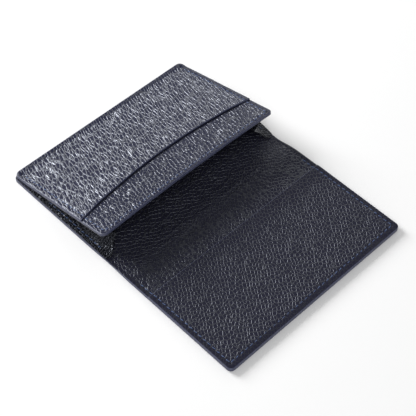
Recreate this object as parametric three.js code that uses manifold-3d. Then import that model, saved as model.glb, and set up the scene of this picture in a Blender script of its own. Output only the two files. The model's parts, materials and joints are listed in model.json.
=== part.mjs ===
// Bifold leather card holder, lying open: a one-piece leather shell with a gusset pocket on its
// back half and a slip pocket on its flap. Millimetres, +Z up. X runs along the fold, the flap
// lies toward -Y and the gusset pocket toward +Y. The origin is under the middle of the fold.
import * as THREE from "three";
import { mergeVertices } from "three/addons/utils/BufferGeometryUtils.js";
import Module from "manifold-3d";

const wasm = await Module();
wasm.setup();

// ---- driving dimensions ----
const WIDTH = 110; // along the fold
const HALF_LENGTH = 73.75; // from the fold to either end
const CORNER_RADIUS = 2.5;
const GLUE = 0.05; // clearance between bonded layers
const COVER = 0.95; // outer leather
const LINING = 0.9; // inner leather of the shell
const PATCH = 0.7; // leather of the slip pockets and the gussets
const BOARD = 0.25; // stiffening board inside each half
const BOARD_MARGIN = 6; // from the board's edge to the leather's edge
const BOARD_CORNER = 1; // corner radius of a board, and of a tape's cut end
const BOARD_SUNK = 0.03; // how far the board lies below the face that its recess is cut in
const RECESS_PLAY = 0.2; // play round a board or a tape in its recess
const FOLD_HALF = 7; // the soft fold runs this far to each side
const FOLD_DIP = 0.4; // how far the lining sinks at the fold
const FLAP_POCKET_EDGE = 22; // from the fold to the mouth of the flap's slip pocket
const HINGE_Y = 69; // where the gusset pocket's front bends up from the shell
const PANEL_ANGLE = 13.19; // how steeply that front stands open, in degrees
const PANEL_LENGTH = 63.05; // from that bend to the pocket's mouth
const PANEL_HALF_WIDTH = 54.05;
const PANEL_LINING = 0.6;
const PANEL_FRONT = 0.85;
const ARC_REACH = 47.4; // from the bend to the slip pocket's edge at the sides
const ARC_SAG = 5.2; // how much lower that edge is in the middle
const POCKET_BOARD_HALF_WIDTH = 44;
const POCKET_BOARD_REACH = 41; // from the bend to the far edge of the pocket front's board
const TAPE_WIDTH = 8; // reinforcing tape at the fold and along the mouth
const TAPE = 0.12;
const MOUTH_TAPE_HALF_LENGTH = 48;
const MOUTH_TAPE_INSET = 3; // from the pocket's mouth to the tape
const GUSSET_FLAT = 3.7; // width of the gusset's sewn margin
const GUSSET_LEAF = 9.6; // from that margin to the gusset's inner fold
const GUSSET_START = 7.3; // gusset's free edge, beside the fold
const GUSSET_END = 66; // gusset's skived end
const GUSSET_STATIONS = [GUSSET_START, 20, 33, 46, 56, 61, 64, GUSSET_END];
const GUSSET_SKIVE = 0.84; // most that a gusset's wall may take of half of its height
const THREAD_HALF = 0.16; // half of the sewing thread's thickness
const THREAD_SEAT = 0.22; // half of the groove that the thread is pressed into
const THREAD_SUNK = 0.06; // how far the thread's middle lies below the leather's surface
const SEAM_SIDE = 2.5; // seam to side edge
const SEAM_END = 3; // seam to end edge
const SEAM_MOUTH = 2; // seam to the pocket's mouth
const SEAM_STEP_PLAY = 0.45; // from a patch's edge to the thread that steps up onto it
const FLAP_SEAM_START = 14; // from the fold to the first stitch on the flap
const GUSSET_SEAM_START = 9.3; // from the fold to the first stitch of a gusset's seam
const GUSSET_SEAM_END = 50; // and to its last, short of where the pocket front closes down
const POCKET_SEAM_END = 9; // from the bend to the last stitch of the pocket front's seam
const SEWN_END_PLAY = 0.2; // between the tilted front and the strip that stays on the shell

// ---- levels worked out from them ----
const HALF_WIDTH = WIDTH / 2;
const LINING_BASE = COVER + GLUE;
const SHELL_TOP = LINING_BASE + LINING;
const PATCH_BASE = SHELL_TOP + GLUE;
const FLAP_TOP = PATCH_BASE + PATCH;
const FRONT_BASE = PANEL_LINING + GLUE;
const FRONT_TOP = FRONT_BASE + PANEL_FRONT;
const SLIP_BASE = FRONT_TOP + GLUE;
const SLIP_TOP = SLIP_BASE + PATCH;
const SLOPE = THREE.MathUtils.degToRad(PANEL_ANGLE);
const SEAM_X = HALF_WIDTH - SEAM_SIDE;
const BOTTOM_THREAD = THREAD_HALF + 0.02; // height of the thread's middle on the underside

// ---- finishes ----
const finish = (color, roughness) =>
  new THREE.MeshStandardMaterial({ color, roughness, metalness: 0 });
const OUTER_LEATHER = finish("#3d404b", 0.5);
const INNER_LEATHER = finish("#33343d", 0.6);
const GUSSET_LEATHER = finish("#26272e", 0.45);
const SEWING_THREAD = finish("#3c4a68", 0.7);
const GREY_BOARD = finish("#8a8780", 0.9);
const WHITE_TAPE = finish("#d9d9d4", 0.9);

// ---- solids ----
function solidOf(geometry) {
  const bare = geometry.index ? geometry : geometry.clone();
  bare.deleteAttribute("normal");
  bare.deleteAttribute("uv");
  const merged = mergeVertices(bare, 1e-4);
  return new wasm.Manifold(
    new wasm.Mesh({
      numProp: 3,
      vertProperties: new Float32Array(merged.attributes.position.array),
      triVerts: new Uint32Array(merged.index.array),
    }),
  );
}

// The solid of a closed surface, turned round first if its faces point inward.
function outward(geometry) {
  const solid = solidOf(geometry);
  if (solid.volume() > 0) return solid;
  geometry.setIndex([...geometry.index.array].reverse());
  return solidOf(geometry);
}

function meshOf(name, solid, material) {
  const { numProp, vertProperties, triVerts } = solid.getMesh();
  const geometry = new THREE.BufferGeometry();
  const positions = new THREE.InterleavedBuffer(vertProperties, numProp);
  geometry.setAttribute("position", new THREE.InterleavedBufferAttribute(positions, 3, 0));
  geometry.setIndex(new THREE.BufferAttribute(triVerts, 1));
  const loose = geometry.toNonIndexed();
  loose.computeVertexNormals();
  const mesh = new THREE.Mesh(loose, material);
  mesh.name = name;
  return mesh;
}

// A flat plate: an outline in X and Y, from one height to another.
function plate(outline, low, high) {
  const geometry = new THREE.ExtrudeGeometry(outline, {
    depth: high - low,
    bevelEnabled: false,
    curveSegments: 6,
  });
  return solidOf(geometry.translate(0, 0, low));
}

// A rectangle from y = near to y = far. The corners at the far side are rounded.
function tongue(halfWidth, near, far, radius = CORNER_RADIUS) {
  const way = Math.sign(far - near);
  const shape = new THREE.Shape();
  shape.moveTo(-halfWidth, near);
  shape.lineTo(halfWidth, near);
  shape.lineTo(halfWidth, far - way * radius);
  shape.quadraticCurveTo(halfWidth, far, halfWidth - radius, far);
  shape.lineTo(radius - halfWidth, far);
  shape.quadraticCurveTo(-halfWidth, far, -halfWidth, far - way * radius);
  shape.closePath();
  return shape;
}

// The slip pocket's outline: straight at the bend, and a long hollow arc as its mouth.
function slipOutline() {
  const radius = (PANEL_HALF_WIDTH ** 2 + ARC_SAG ** 2) / (2 * ARC_SAG);
  const reach = Math.asin(PANEL_HALF_WIDTH / radius);
  const top = -Math.PI / 2;
  const shape = new THREE.Shape();
  shape.moveTo(PANEL_HALF_WIDTH, 0);
  shape.lineTo(-PANEL_HALF_WIDTH, 0);
  const centre = -ARC_REACH + ARC_SAG - radius;
  const arc = new THREE.EllipseCurve(0, centre, radius, radius, -top + reach, -top - reach, true);
  arc.getPoints(16).forEach((p) => shape.lineTo(p.x, p.y));
  shape.closePath();
  return shape;
}

// A square strand along a closed loop of straight runs that follow the axes, mitred where it turns.
function strand(loop, half) {
  const points = loop.map((p) => new THREE.Vector3(...p));
  const count = points.length;
  const way = (i) => points[(i + 1) % count].clone().sub(points[i % count]).normalize();
  const offsets = points.map((_, i) => {
    const arriving = way(i + count - 1);
    const leaving = way(i);
    const inward = leaving.clone().sub(arriving);
    const across = arriving.clone().cross(leaving);
    return [inward, inward.clone().negate()].flatMap((v) => [
      v.clone().add(across),
      v.clone().sub(across),
    ]);
  });
  const positions = offsets.flatMap((four, i) =>
    four.flatMap((v) => points[i].clone().addScaledVector(v, half).toArray()),
  );
  const faces = [];
  for (let i = 0; i < count; i += 1) {
    const along = way(i);
    const up = new THREE.Vector3(along.y, along.z, along.x);
    const side = along.clone().cross(up);
    const ring = (k) =>
      [[1, 1], [-1, 1], [-1, -1], [1, -1]].map(([s, t]) => {
        const found = offsets[k].findIndex((v) => v.dot(up) * s > 0 && v.dot(side) * t > 0);
        return 4 * k + found;
      });
    const [here, there] = [ring(i), ring((i + 1) % count)];
    here.forEach((a, j) => {
      const b = here[(j + 1) % 4];
      faces.push(a, b, there[(j + 1) % 4], a, there[(j + 1) % 4], there[j]);
    });
  }
  const geometry = new THREE.BufferGeometry();
  geometry.setAttribute("position", new THREE.Float32BufferAttribute(positions, 3));
  geometry.setIndex(faces);
  return outward(geometry);
}

// A seam is one closed loop of thread: along the top, through the layers, and back underneath.
function seam(loop) {
  return { thread: strand(loop, THREAD_HALF), seat: strand(loop, THREAD_SEAT) };
}

// A straight seam along Y at x, from y = a to y = b.
const seamAlongY = (x, a, b, top) =>
  seam([
    [x, a, BOTTOM_THREAD],
    [x, a, top - THREAD_SUNK],
    [x, b, top - THREAD_SUNK],
    [x, b, BOTTOM_THREAD],
  ]);

// A seam round three sides that steps from a lower layer onto the patch sewn over it.
function seamRound(x, start, step, end, first, second) {
  const side = (s) => [
    [s * x, start, first - THREAD_SUNK],
    [s * x, step, first - THREAD_SUNK],
    [s * x, step, second - THREAD_SUNK],
    [s * x, end, second - THREAD_SUNK],
  ];
  const under = (s) => [
    [s * x, end, BOTTOM_THREAD],
    [s * x, start, BOTTOM_THREAD],
  ];
  return seam([...side(-1), ...side(1).reverse(), ...under(1).reverse(), ...under(-1)]);
}

// A closed skin through outlines that all have the same number of points.
function loft(sections) {
  const count = sections[0].length;
  const geometry = new THREE.BufferGeometry();
  geometry.setAttribute("position", new THREE.Float32BufferAttribute(sections.flat(2), 3));
  const faces = [];
  for (let s = 0; s + 1 < sections.length; s += 1) {
    for (let i = 0; i < count; i += 1) {
      const [a, b] = [s * count + i, s * count + ((i + 1) % count)];
      faces.push(a, b, b + count, a, b + count, a + count);
    }
  }
  const flat = sections[0].map(([x, , z]) => new THREE.Vector2(x, z));
  const turned = THREE.ShapeUtils.isClockWise(flat);
  const last = (sections.length - 1) * count;
  for (const face of THREE.ShapeUtils.triangulateShape(flat, [])) {
    const [i, j, k] = turned ? face : [...face].reverse();
    faces.push(i, j, k, last + k, last + j, last + i);
  }
  geometry.setIndex(faces);
  return outward(geometry);
}

// ---- shell: cover, board and lining of one half; way is +1 for the back and -1 for the flap ----
function halfShell(way, seats) {
  const near = way * (FOLD_HALF + GLUE);
  const far = way * HALF_LENGTH;
  const outline = tongue(HALF_WIDTH, near, far);
  const inset = (extra) => {
    const margin = BOARD_MARGIN - extra;
    const [a, b] = [near + way * margin, far - way * margin];
    return tongue(HALF_WIDTH - margin, a, b, BOARD_CORNER);
  };
  const boardTop = COVER - BOARD_SUNK;
  const recess = plate(inset(RECESS_PLAY), boardTop - BOARD - GLUE, COVER + 1);
  const sewn = (solid) => seats.reduce((cut, seat) => cut.subtract(seat), solid);
  return {
    cover: sewn(plate(outline, 0, COVER).subtract(recess)),
    board: plate(inset(0), boardTop - BOARD, boardTop),
    lining: sewn(plate(outline, LINING_BASE, SHELL_TOP)),
  };
}

// ---- fold: the same leathers where they bend, extruded along the fold ----
function foldStrip(points) {
  const shape = new THREE.Shape(points.map(([y, z]) => new THREE.Vector2(y, z)));
  const geometry = new THREE.ExtrudeGeometry(shape, { depth: WIDTH, bevelEnabled: false });
  geometry.rotateY(Math.PI / 2).rotateX(Math.PI / 2).translate(-HALF_WIDTH, 0, 0);
  return solidOf(geometry);
}

function foldLining() {
  const base = LINING_BASE + TAPE + GLUE;
  const steps = 12;
  const top = Array.from({ length: steps + 1 }, (_, i) => {
    const t = 1 - (2 * i) / steps;
    const dip = FOLD_DIP * Math.cos((t * Math.PI) / 2) ** 2;
    return [t * FOLD_HALF, SHELL_TOP - dip];
  });
  return foldStrip([[-FOLD_HALF, base], [FOLD_HALF, base], ...top]);
}

const stripBetween = (reach, low, high) =>
  foldStrip([[-reach, low], [reach, low], [reach, high], [-reach, high]]);

// ---- gusset: a V-folded strip; side is +1 or -1 ----
function gusset(side, seat) {
  const flatEdge = HALF_WIDTH - GUSSET_FLAT;
  const sections = GUSSET_STATIONS.map((y) => {
    const low = PATCH_BASE;
    const under = PATCH_BASE + (HINGE_Y - y) * Math.tan(SLOPE);
    const high = under - GLUE / Math.cos(SLOPE);
    const rise = (high - low) / 2;
    const thick = Math.min(PATCH, GUSSET_SKIVE * rise);
    const reach = Math.sqrt(GUSSET_LEAF ** 2 - rise ** 2);
    const lean = Math.atan2(rise, reach);
    const tip = flatEdge - reach;
    const corner = flatEdge + thick * Math.tan(lean / 2);
    const crease = tip + thick / Math.sin(lean);
    return [
      [HALF_WIDTH, low],
      [flatEdge, low],
      [tip, low + rise],
      [flatEdge, high],
      [PANEL_HALF_WIDTH, high],
      [PANEL_HALF_WIDTH, high - thick],
      [corner, high - thick],
      [crease, low + rise],
      [corner, low + thick],
      [HALF_WIDTH, low + thick],
    ].map(([x, z]) => [side * x, y, z]);
  });
  return loft(sections).subtract(seat);
}

// ---- assembly ----
const holder = new THREE.Group();
const put = (group, name, solid, material) => group.add(meshOf(name, solid, material));

// Flap: cover, board, lining, slip pocket and the seam round its three free sides.
const flapSeam = seamRound(
  SEAM_X,
  -FLAP_SEAM_START,
  SEAM_STEP_PLAY - FLAP_POCKET_EDGE,
  SEAM_END - HALF_LENGTH,
  SHELL_TOP,
  FLAP_TOP,
);
const flap = halfShell(-1, [flapSeam.seat]);
const flapPocket = plate(
  tongue(HALF_WIDTH, -FLAP_POCKET_EDGE, -HALF_LENGTH),
  PATCH_BASE,
  FLAP_TOP,
).subtract(flapSeam.seat);
put(holder, "flap_cover", flap.cover, OUTER_LEATHER);
put(holder, "flap_board", flap.board, GREY_BOARD);
put(holder, "flap_lining", flap.lining, INNER_LEATHER);
put(holder, "flap_slip_pocket", flapPocket, INNER_LEATHER);
put(holder, "flap_seam", flapSeam.thread, SEWING_THREAD);

// Fold: cover, tape and lining.
put(holder, "fold_cover", stripBetween(FOLD_HALF, 0, COVER), OUTER_LEATHER);
put(
  holder,
  "fold_tape",
  stripBetween(TAPE_WIDTH / 2, LINING_BASE, LINING_BASE + TAPE),
  WHITE_TAPE,
);
put(holder, "fold_lining", foldLining(), INNER_LEATHER);

// Back: cover, board, lining, the two gussets and their seams, and the sewn end of the pocket.
const gussetSeams = [-1, 1].map((side) =>
  seamAlongY(side * SEAM_X, GUSSET_SEAM_START, GUSSET_SEAM_END, FLAP_TOP),
);
const endSeamY = HALF_LENGTH - SEAM_END;
const endSeamTop = PATCH_BASE + SLIP_TOP - THREAD_SUNK;
const endSeam = seam([
  [-SEAM_X, endSeamY, BOTTOM_THREAD],
  [-SEAM_X, endSeamY, endSeamTop],
  [SEAM_X, endSeamY, endSeamTop],
  [SEAM_X, endSeamY, BOTTOM_THREAD],
]);
const back = halfShell(1, [...gussetSeams.map((s) => s.seat), endSeam.seat]);
put(holder, "back_cover", back.cover, OUTER_LEATHER);
put(holder, "back_board", back.board, GREY_BOARD);
put(holder, "back_lining", back.lining, INNER_LEATHER);
[-1, 1].forEach((side, i) => {
  const name = side < 0 ? "left" : "right";
  put(holder, `${name}_gusset`, gusset(side, gussetSeams[i].seat), GUSSET_LEATHER);
  put(holder, `${name}_gusset_seam`, gussetSeams[i].thread, SEWING_THREAD);
});
const endNear = HINGE_Y + SLIP_TOP * Math.sin(SLOPE) + SEWN_END_PLAY;
const endOutline = tongue(PANEL_HALF_WIDTH, endNear, HALF_LENGTH);
const endLayer = (low, high) =>
  plate(endOutline, PATCH_BASE + low, PATCH_BASE + high).subtract(endSeam.seat);
put(holder, "pocket_front_sewn_end", endLayer(0, FRONT_TOP), OUTER_LEATHER);
put(holder, "slip_pocket_sewn_end", endLayer(SLIP_BASE, SLIP_TOP), OUTER_LEATHER);
put(holder, "end_seam", endSeam.thread, SEWING_THREAD);

// Pocket front: it hinges at the sewn end, so it is built flat and then tilted about that bend.
const pocket = new THREE.Group();
pocket.position.set(0, HINGE_Y, PATCH_BASE);
pocket.rotation.x = -SLOPE;
holder.add(pocket);
const pocketSeam = seamRound(
  PANEL_HALF_WIDTH - SEAM_SIDE,
  SEAM_MOUTH - PANEL_LENGTH,
  -ARC_REACH - SEAM_STEP_PLAY,
  -POCKET_SEAM_END,
  FRONT_TOP,
  SLIP_TOP,
);
const panelOutline = tongue(PANEL_HALF_WIDTH, 0, -PANEL_LENGTH);
const hidden = (halfWidth, near, far, play) => {
  const way = Math.sign(far - near) * play;
  return tongue(halfWidth + play, near - way, far + way, BOARD_CORNER);
};
const pocketBoard = (play) =>
  hidden(POCKET_BOARD_HALF_WIDTH, -BOARD_MARGIN, -POCKET_BOARD_REACH, play);
const tapeNear = MOUTH_TAPE_INSET - PANEL_LENGTH;
const mouthTape = (play) =>
  hidden(MOUTH_TAPE_HALF_LENGTH, tapeNear, tapeNear + TAPE_WIDTH, play);
const lining = plate(panelOutline, 0, PANEL_LINING).subtract(pocketSeam.seat);
const front = plate(panelOutline, FRONT_BASE, FRONT_TOP)
  .subtract(plate(pocketBoard(RECESS_PLAY), 0, FRONT_BASE + BOARD + GLUE))
  .subtract(plate(mouthTape(RECESS_PLAY), 0, FRONT_BASE + TAPE + GLUE))
  .subtract(pocketSeam.seat);
const slip = plate(slipOutline(), SLIP_BASE, SLIP_TOP).subtract(pocketSeam.seat);
put(pocket, "pocket_lining", lining, INNER_LEATHER);
put(pocket, "pocket_board", plate(pocketBoard(0), FRONT_BASE, FRONT_BASE + BOARD), GREY_BOARD);
put(pocket, "mouth_tape", plate(mouthTape(0), FRONT_BASE, FRONT_BASE + TAPE), WHITE_TAPE);
put(pocket, "pocket_front", front, OUTER_LEATHER);
put(pocket, "slip_pocket", slip, OUTER_LEATHER);
put(pocket, "pocket_seam", pocketSeam.thread, SEWING_THREAD);

export default holder;
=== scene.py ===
"""Looks of a bifold leather card holder lying open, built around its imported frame.

Every leather piece is cut and sewn flat, as on a bench, and only then brought to its shape:
the pocket front is raised off the shell, and the shell settles at its soft fold.
"""
import json
import math

import bpy
import numpy as np
from bpy.props import FloatProperty, FloatVectorProperty, IntProperty, PointerProperty
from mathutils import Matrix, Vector

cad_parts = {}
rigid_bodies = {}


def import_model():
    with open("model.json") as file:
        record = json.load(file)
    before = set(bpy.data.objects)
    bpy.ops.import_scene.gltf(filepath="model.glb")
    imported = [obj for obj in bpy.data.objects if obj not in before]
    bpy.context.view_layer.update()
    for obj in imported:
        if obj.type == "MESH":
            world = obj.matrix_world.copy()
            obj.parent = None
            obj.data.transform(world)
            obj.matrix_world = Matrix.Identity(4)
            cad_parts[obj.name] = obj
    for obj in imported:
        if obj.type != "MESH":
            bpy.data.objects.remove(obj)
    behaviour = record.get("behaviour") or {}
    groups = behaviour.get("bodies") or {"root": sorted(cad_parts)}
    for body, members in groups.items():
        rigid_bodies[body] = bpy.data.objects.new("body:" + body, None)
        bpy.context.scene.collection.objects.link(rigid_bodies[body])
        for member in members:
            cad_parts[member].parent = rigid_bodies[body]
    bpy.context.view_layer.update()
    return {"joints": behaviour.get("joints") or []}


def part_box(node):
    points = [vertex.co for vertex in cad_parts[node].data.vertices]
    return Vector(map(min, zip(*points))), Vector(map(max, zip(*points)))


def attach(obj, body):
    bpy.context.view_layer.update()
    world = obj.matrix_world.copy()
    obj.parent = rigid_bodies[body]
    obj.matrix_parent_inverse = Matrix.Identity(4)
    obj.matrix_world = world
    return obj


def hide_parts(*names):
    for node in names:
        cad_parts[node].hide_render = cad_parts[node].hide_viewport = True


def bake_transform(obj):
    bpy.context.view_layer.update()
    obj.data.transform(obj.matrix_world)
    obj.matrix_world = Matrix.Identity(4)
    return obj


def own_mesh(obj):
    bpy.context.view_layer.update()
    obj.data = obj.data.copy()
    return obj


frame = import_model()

bl_info = {
    "name": "Leather card holder",
    "version": (1, 0, 0),
    "blender": (4, 5, 0),
    "location": "3D View > Sidebar > Card Holder",
    "description": "Builds an open bifold card holder in pebbled leather round its packed frame",
    "category": "Add Mesh",
}

MM = 0.001


# ---- places that the frame gives ----
def height_of(node):
    """Lowest and highest z of a CAD node."""
    low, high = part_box(node)
    return low.z, high.z


def joint_place(name):
    """Where a joint of the frame turns."""
    return Vector(next(j["pos_m"] for j in frame["joints"] if j["name"] == name))


HALF_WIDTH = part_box("back_cover")[1].x
HALF_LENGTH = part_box("back_cover")[1].y
TIGHT_BEND = 3.2 * MM  # the shell bends most this near the middle of the fold
BEND_STEP = 0.25 * MM  # and has a mesh line this often there
BOARD_STEP = 2 * MM  # spacing of the mesh lines on hidden boards and tapes
COVER_Z = height_of("back_cover")
LINING_Z = height_of("back_lining")
PATCH_Z = height_of("flap_slip_pocket")
FLAP_MOUTH_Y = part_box("flap_slip_pocket")[1].y
FRONT_HALF_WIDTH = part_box("pocket_front")[1].x
BEND = joint_place("pocket_flatten")
FRONT_W = height_of("pocket_front_sewn_end")[1] - BEND.z
SLIP_W = tuple(z - BEND.z for z in height_of("slip_pocket_sewn_end"))
FRONT_RUN = BEND.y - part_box("pocket_lining")[0].y
FRONT_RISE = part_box("pocket_front")[1].z - BEND.z - FRONT_W
FRONT_TILT = math.atan2(FRONT_RISE, FRONT_RUN)
FRONT_LENGTH = math.hypot(FRONT_RISE, FRONT_RUN)
FRONT_WHOLE = FRONT_LENGTH + HALF_LENGTH - BEND.y
FRONT_BEND = 2.2 * MM  # the pocket front bends this far on either side of its hinge
GUSSET_FREE_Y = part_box("left_gusset")[0].y
GUSSET_FOOT = (9.3 * MM, 50 * MM)  # where the seam along a gusset's foot starts and ends
GUSSET_WALL = 0.6 * MM
GUSSET_LEAF = 9.6 * MM  # width of each of the two leaves that meet in a V
GUSSET_CLEAR = 0.7 * MM  # room for the thread between a gusset's upper margin and the front
NEEDLE_PULL = 0.45 * MM  # how deep a stitch draws the outer leathers in at its holes
THREAD_SUNK = 0.1 * MM  # how deep a stitch lies in the leather


def srgb(code):
    """A hex colour as linear red, green and blue."""
    parts = [int(code[i : i + 2], 16) / 255 for i in (1, 3, 5)]
    return tuple(c / 12.92 if c <= 0.04045 else ((c + 0.055) / 1.055) ** 2.4 for c in parts)


# ---- what a user would change ----
def length(label, about, millimetres):
    return FloatProperty(name=label, description=about, default=millimetres * MM, unit="LENGTH")


def colour(label, about, code):
    return FloatVectorProperty(
        name=label, description=about, default=srgb(code), subtype="COLOR", min=0, max=1
    )


class HolderSizes(bpy.types.PropertyGroup):
    corner: length("Corner radius", "Radius of the leather's cut corners", 2.5)
    stitch: length("Stitch length", "From one needle hole to the next", 2.84)
    thread: length("Thread", "Width of the sewing thread as it lies in its stitch", 0.52)
    seam_side: length("Side margin", "From a side edge to the seam beside it", 2.5)
    seam_end: length("End margin", "From an end edge to the seam beside it", 3.0)
    seam_mouth: length("Mouth margin", "From the pocket's mouth to the seam beside it", 2.0)
    flap_seam_start: length("Flap seam start", "From the fold to the flap's first stitch", 14.0)
    front_lining: length("Pocket lining", "Thickness of the pocket front's lining", 0.6)
    slip_reach: length("Slip mouth", "From the pocket's mouth to it, at the sides", 15.65)
    slip_sag: length("Slip mouth sag", "How much lower that mouth is in the middle", 5.2)
    crown: length("Crown", "How far the pocket's mouth bows up in the middle", 1.3)
    gape: length("Gape", "How far the slip pocket's mouth stands off", 0.3)
    pebble: length("Pebble", "Width of a pebble of the grain", 2.2)
    grain_depth: length("Grain depth", "Height of a pebble above the creases round it", 0.42)
    squeeze: FloatProperty(
        name="Fold squeeze", description="Share of its thickness that the fold has lost",
        default=0.5, min=0, max=0.8, subtype="FACTOR",
    )
    gusset_steps: IntProperty(
        name="Gusset steps", description="Faces across a gusset's folded strip", default=36, min=12
    )


class HolderColours(bpy.types.PropertyGroup):
    navy: colour("Navy", "Dyed and finished leather of the cover and the pocket front", "#222437")
    # painted shade: a darker copy of the navy, laid along the wrinkles between the pebbles
    navy_crease_shade: colour("Navy creases", "The same leather down in its creases", "#0b0c14")
    # painted highlight: a pale colour laid on the tops of the fine wrinkles
    painted_highlight: colour("Painted highlight on wrinkles", "Tops of the fine wrinkles, rubbed pale", "#8a8c99")
    inner: colour("Inner leather", "Leather of the lining and the flap's pocket", "#232331")
    # painted shade: a darker copy of the inner leather, laid along the wrinkles between its
    # pebbles
    inner_crease_shade: colour("Inner creases", "The same leather down in its creases", "#0a0b0f")
    gusset: colour("Gusset leather", "Thinner, glossier leather of the gussets", "#0d0e14")
    edge: colour("Edge paint", "Painted and burnished edges", "#42465f")
    thread: colour("Thread", "Waxed sewing thread", "#4b5f88")
    board: colour("Board", "Stiffening board", "#8a8780")
    tape: colour("Tape", "Reinforcing tape", "#d9d9d4")
    paper: colour("Paper", "Seamless paper that the holder lies on", "#f6f6f6")


def sizes():
    return bpy.context.scene.holder_sizes


def colours():
    return bpy.context.scene.holder_colours


# ---- mesh helpers ----
def points_of(obj):
    co = np.empty(len(obj.data.vertices) * 3)
    obj.data.vertices.foreach_get("co", co)
    return co.reshape(-1, 3)


def set_points(obj, co):
    obj.data.vertices.foreach_set("co", co.ravel())
    obj.data.update()


def lines(keys, spacing):
    """Grid lines through every key place, evenly spaced between them."""
    runs = [
        np.linspace(a, b, max(1, round((b - a) / spacing)) + 1)[:-1]
        for a, b in zip(keys, keys[1:])
    ]
    return np.append(np.concatenate(runs), keys[-1])


def smooth(value, start, end):
    """0 before start, 1 after end, and a soft step between them."""
    t = np.clip((value - start) / (end - start), 0, 1)
    return t * t * (3 - 2 * t)


def cut_sheet(name, xs, ys, face, edge):
    """A flat sheet whose mesh lines stand at xs and ys, with its face and its edge material."""
    bpy.ops.object.select_all(action="DESELECT")
    bpy.ops.mesh.primitive_grid_add(
        x_subdivisions=len(xs) - 1, y_subdivisions=len(ys) - 1, size=2
    )
    sheet = bpy.context.object
    sheet.name = sheet.data.name = name
    co = points_of(sheet)
    for axis, places in enumerate((xs, ys)):
        co[:, axis] = np.interp(co[:, axis], np.linspace(-1, 1, len(places)), places)
    set_points(sheet, co)
    sheet.data.materials.append(face)
    sheet.data.materials.append(edge)
    return sheet


def round_corners(sheet, end, inward, radius):
    """Trims the two corners at y = end to quarter circles. inward is +1 or -1, into the sheet."""
    co = points_of(sheet)
    inner = np.abs(co[:, 0]).max() - radius
    dx = np.abs(co[:, 0]) - inner
    dy = radius - (co[:, 1] - end) * inward
    corner = (dx > 1e-7) & (dy > 1e-7)
    dx, dy = dx[corner], dy[corner]
    keep = np.maximum(dx, dy) / np.hypot(dx, dy)
    co[corner, 0] = np.sign(co[corner, 0]) * (inner + dx * keep)
    co[corner, 1] = end + inward * (radius - dy * keep)
    set_points(sheet, co)


def thicken(sheet, base, top, offset=1):
    """Gives the sheet its thickness, from base to top, with the edge material on its rim."""
    wall = sheet.modifiers.new("wall", "SOLIDIFY")
    wall.thickness = top - base
    wall.offset = offset
    wall.use_rim = True
    wall.material_offset_rim = 1
    bpy.ops.object.modifier_apply(modifier=wall.name)
    if offset == 1:
        set_points(sheet, points_of(sheet) + (0, 0, base))


def rim_border(mesh, upper, middle):
    """Which edges lie between the rim and the upper (or the lower) face."""
    rim = np.empty(len(mesh.polygons), np.int32)
    mesh.polygons.foreach_get("material_index", rim)
    corners = np.empty(len(mesh.polygons), np.int32)
    mesh.polygons.foreach_get("loop_total", corners)
    edge_of = np.empty(len(mesh.loops), np.int32)
    mesh.loops.foreach_get("edge_index", edge_of)
    on_rim = np.bincount(edge_of, np.repeat(rim, corners), len(mesh.edges))
    faces = np.bincount(edge_of, minlength=len(mesh.edges))
    ends = np.empty(len(mesh.edges) * 2, np.int32)
    mesh.edges.foreach_get("vertices", ends)
    co = np.empty(len(mesh.vertices) * 3)
    mesh.vertices.foreach_get("co", co)
    height = co.reshape(-1, 3)[:, 2][ends].reshape(-1, 2).mean(1)
    return (on_rim == 1) & (faces == 2) & ((height > middle) == upper)


def soften_rim(sheet, base, top, upper_radius, lower_radius):
    """Rounds the two borders of the cut edge."""
    for upper, radius in ((True, upper_radius), (False, lower_radius)):
        chosen = rim_border(sheet.data, upper, (base + top) / 2)
        bpy.ops.object.mode_set(mode="EDIT")
        bpy.ops.mesh.select_mode(type="EDGE")
        bpy.ops.mesh.select_all(action="DESELECT")
        bpy.ops.object.mode_set(mode="OBJECT")
        sheet.data.edges.foreach_set("select", chosen)
        bpy.ops.object.mode_set(mode="EDIT")
        bpy.ops.mesh.bevel(
            offset=radius, segments=3, profile=0.5, affect="EDGES", material=1, clamp_overlap=True
        )
        bpy.ops.object.mode_set(mode="OBJECT")


def mark(obj, name, values):
    """Keeps one number per point for the materials to read."""
    kept = obj.data.attributes.new(name, "FLOAT", "POINT")
    kept.data.foreach_set("value", np.asarray(values, np.float32))


def finish_piece(obj, smooth_angle=50):
    """Smooth shading up to that angle."""
    bpy.ops.object.select_all(action="DESELECT")
    obj.select_set(True)
    bpy.context.view_layer.objects.active = obj
    bpy.ops.object.shade_smooth_by_angle(angle=math.radians(smooth_angle))
    return obj


# ---- how the leather lies ----
def swell(x, y, seed=0.0):
    """Gentle unevenness of a sheet of leather, from about -1 to 1."""
    u, v = x / (9 * MM) + seed, y / (9 * MM) - 2 * seed
    waves = np.sin(0.61 * u + 0.83 * v) + np.sin(1.13 * u - 0.47 * v + 1.7)
    return (waves + np.sin(0.29 * u + 1.71 * v + 4.1) + np.sin(2.03 * u + 0.9 * v + 2.3)) / 4


def fold_squeeze(x, y):
    """Share of its thickness that the shell has lost at (x, y)."""
    across = 0.65 + 0.35 * (x / HALF_WIDTH) ** 2
    valley = np.exp(-(((y - 4 * MM) / (7.5 * MM)) ** 2))
    return sizes().squeeze * across * valley


def pinch(x, y):
    """How far the fold draws the shell's sides in: more on the right side than on the left."""
    deep = np.where(x > 0, 0.9, 0.35) * MM
    reach = np.exp(-(((y - 5 * MM) / (8 * MM)) ** 2))
    return -np.sign(x) * deep * reach * smooth(np.abs(x), 30 * MM, HALF_WIDTH)


def settle(co):
    """The shell thins and narrows where it folds."""
    co[:, 2] *= 1 - fold_squeeze(co[:, 0], co[:, 1])
    co[:, 0] += pinch(co[:, 0], co[:, 1])
    return co


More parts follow.
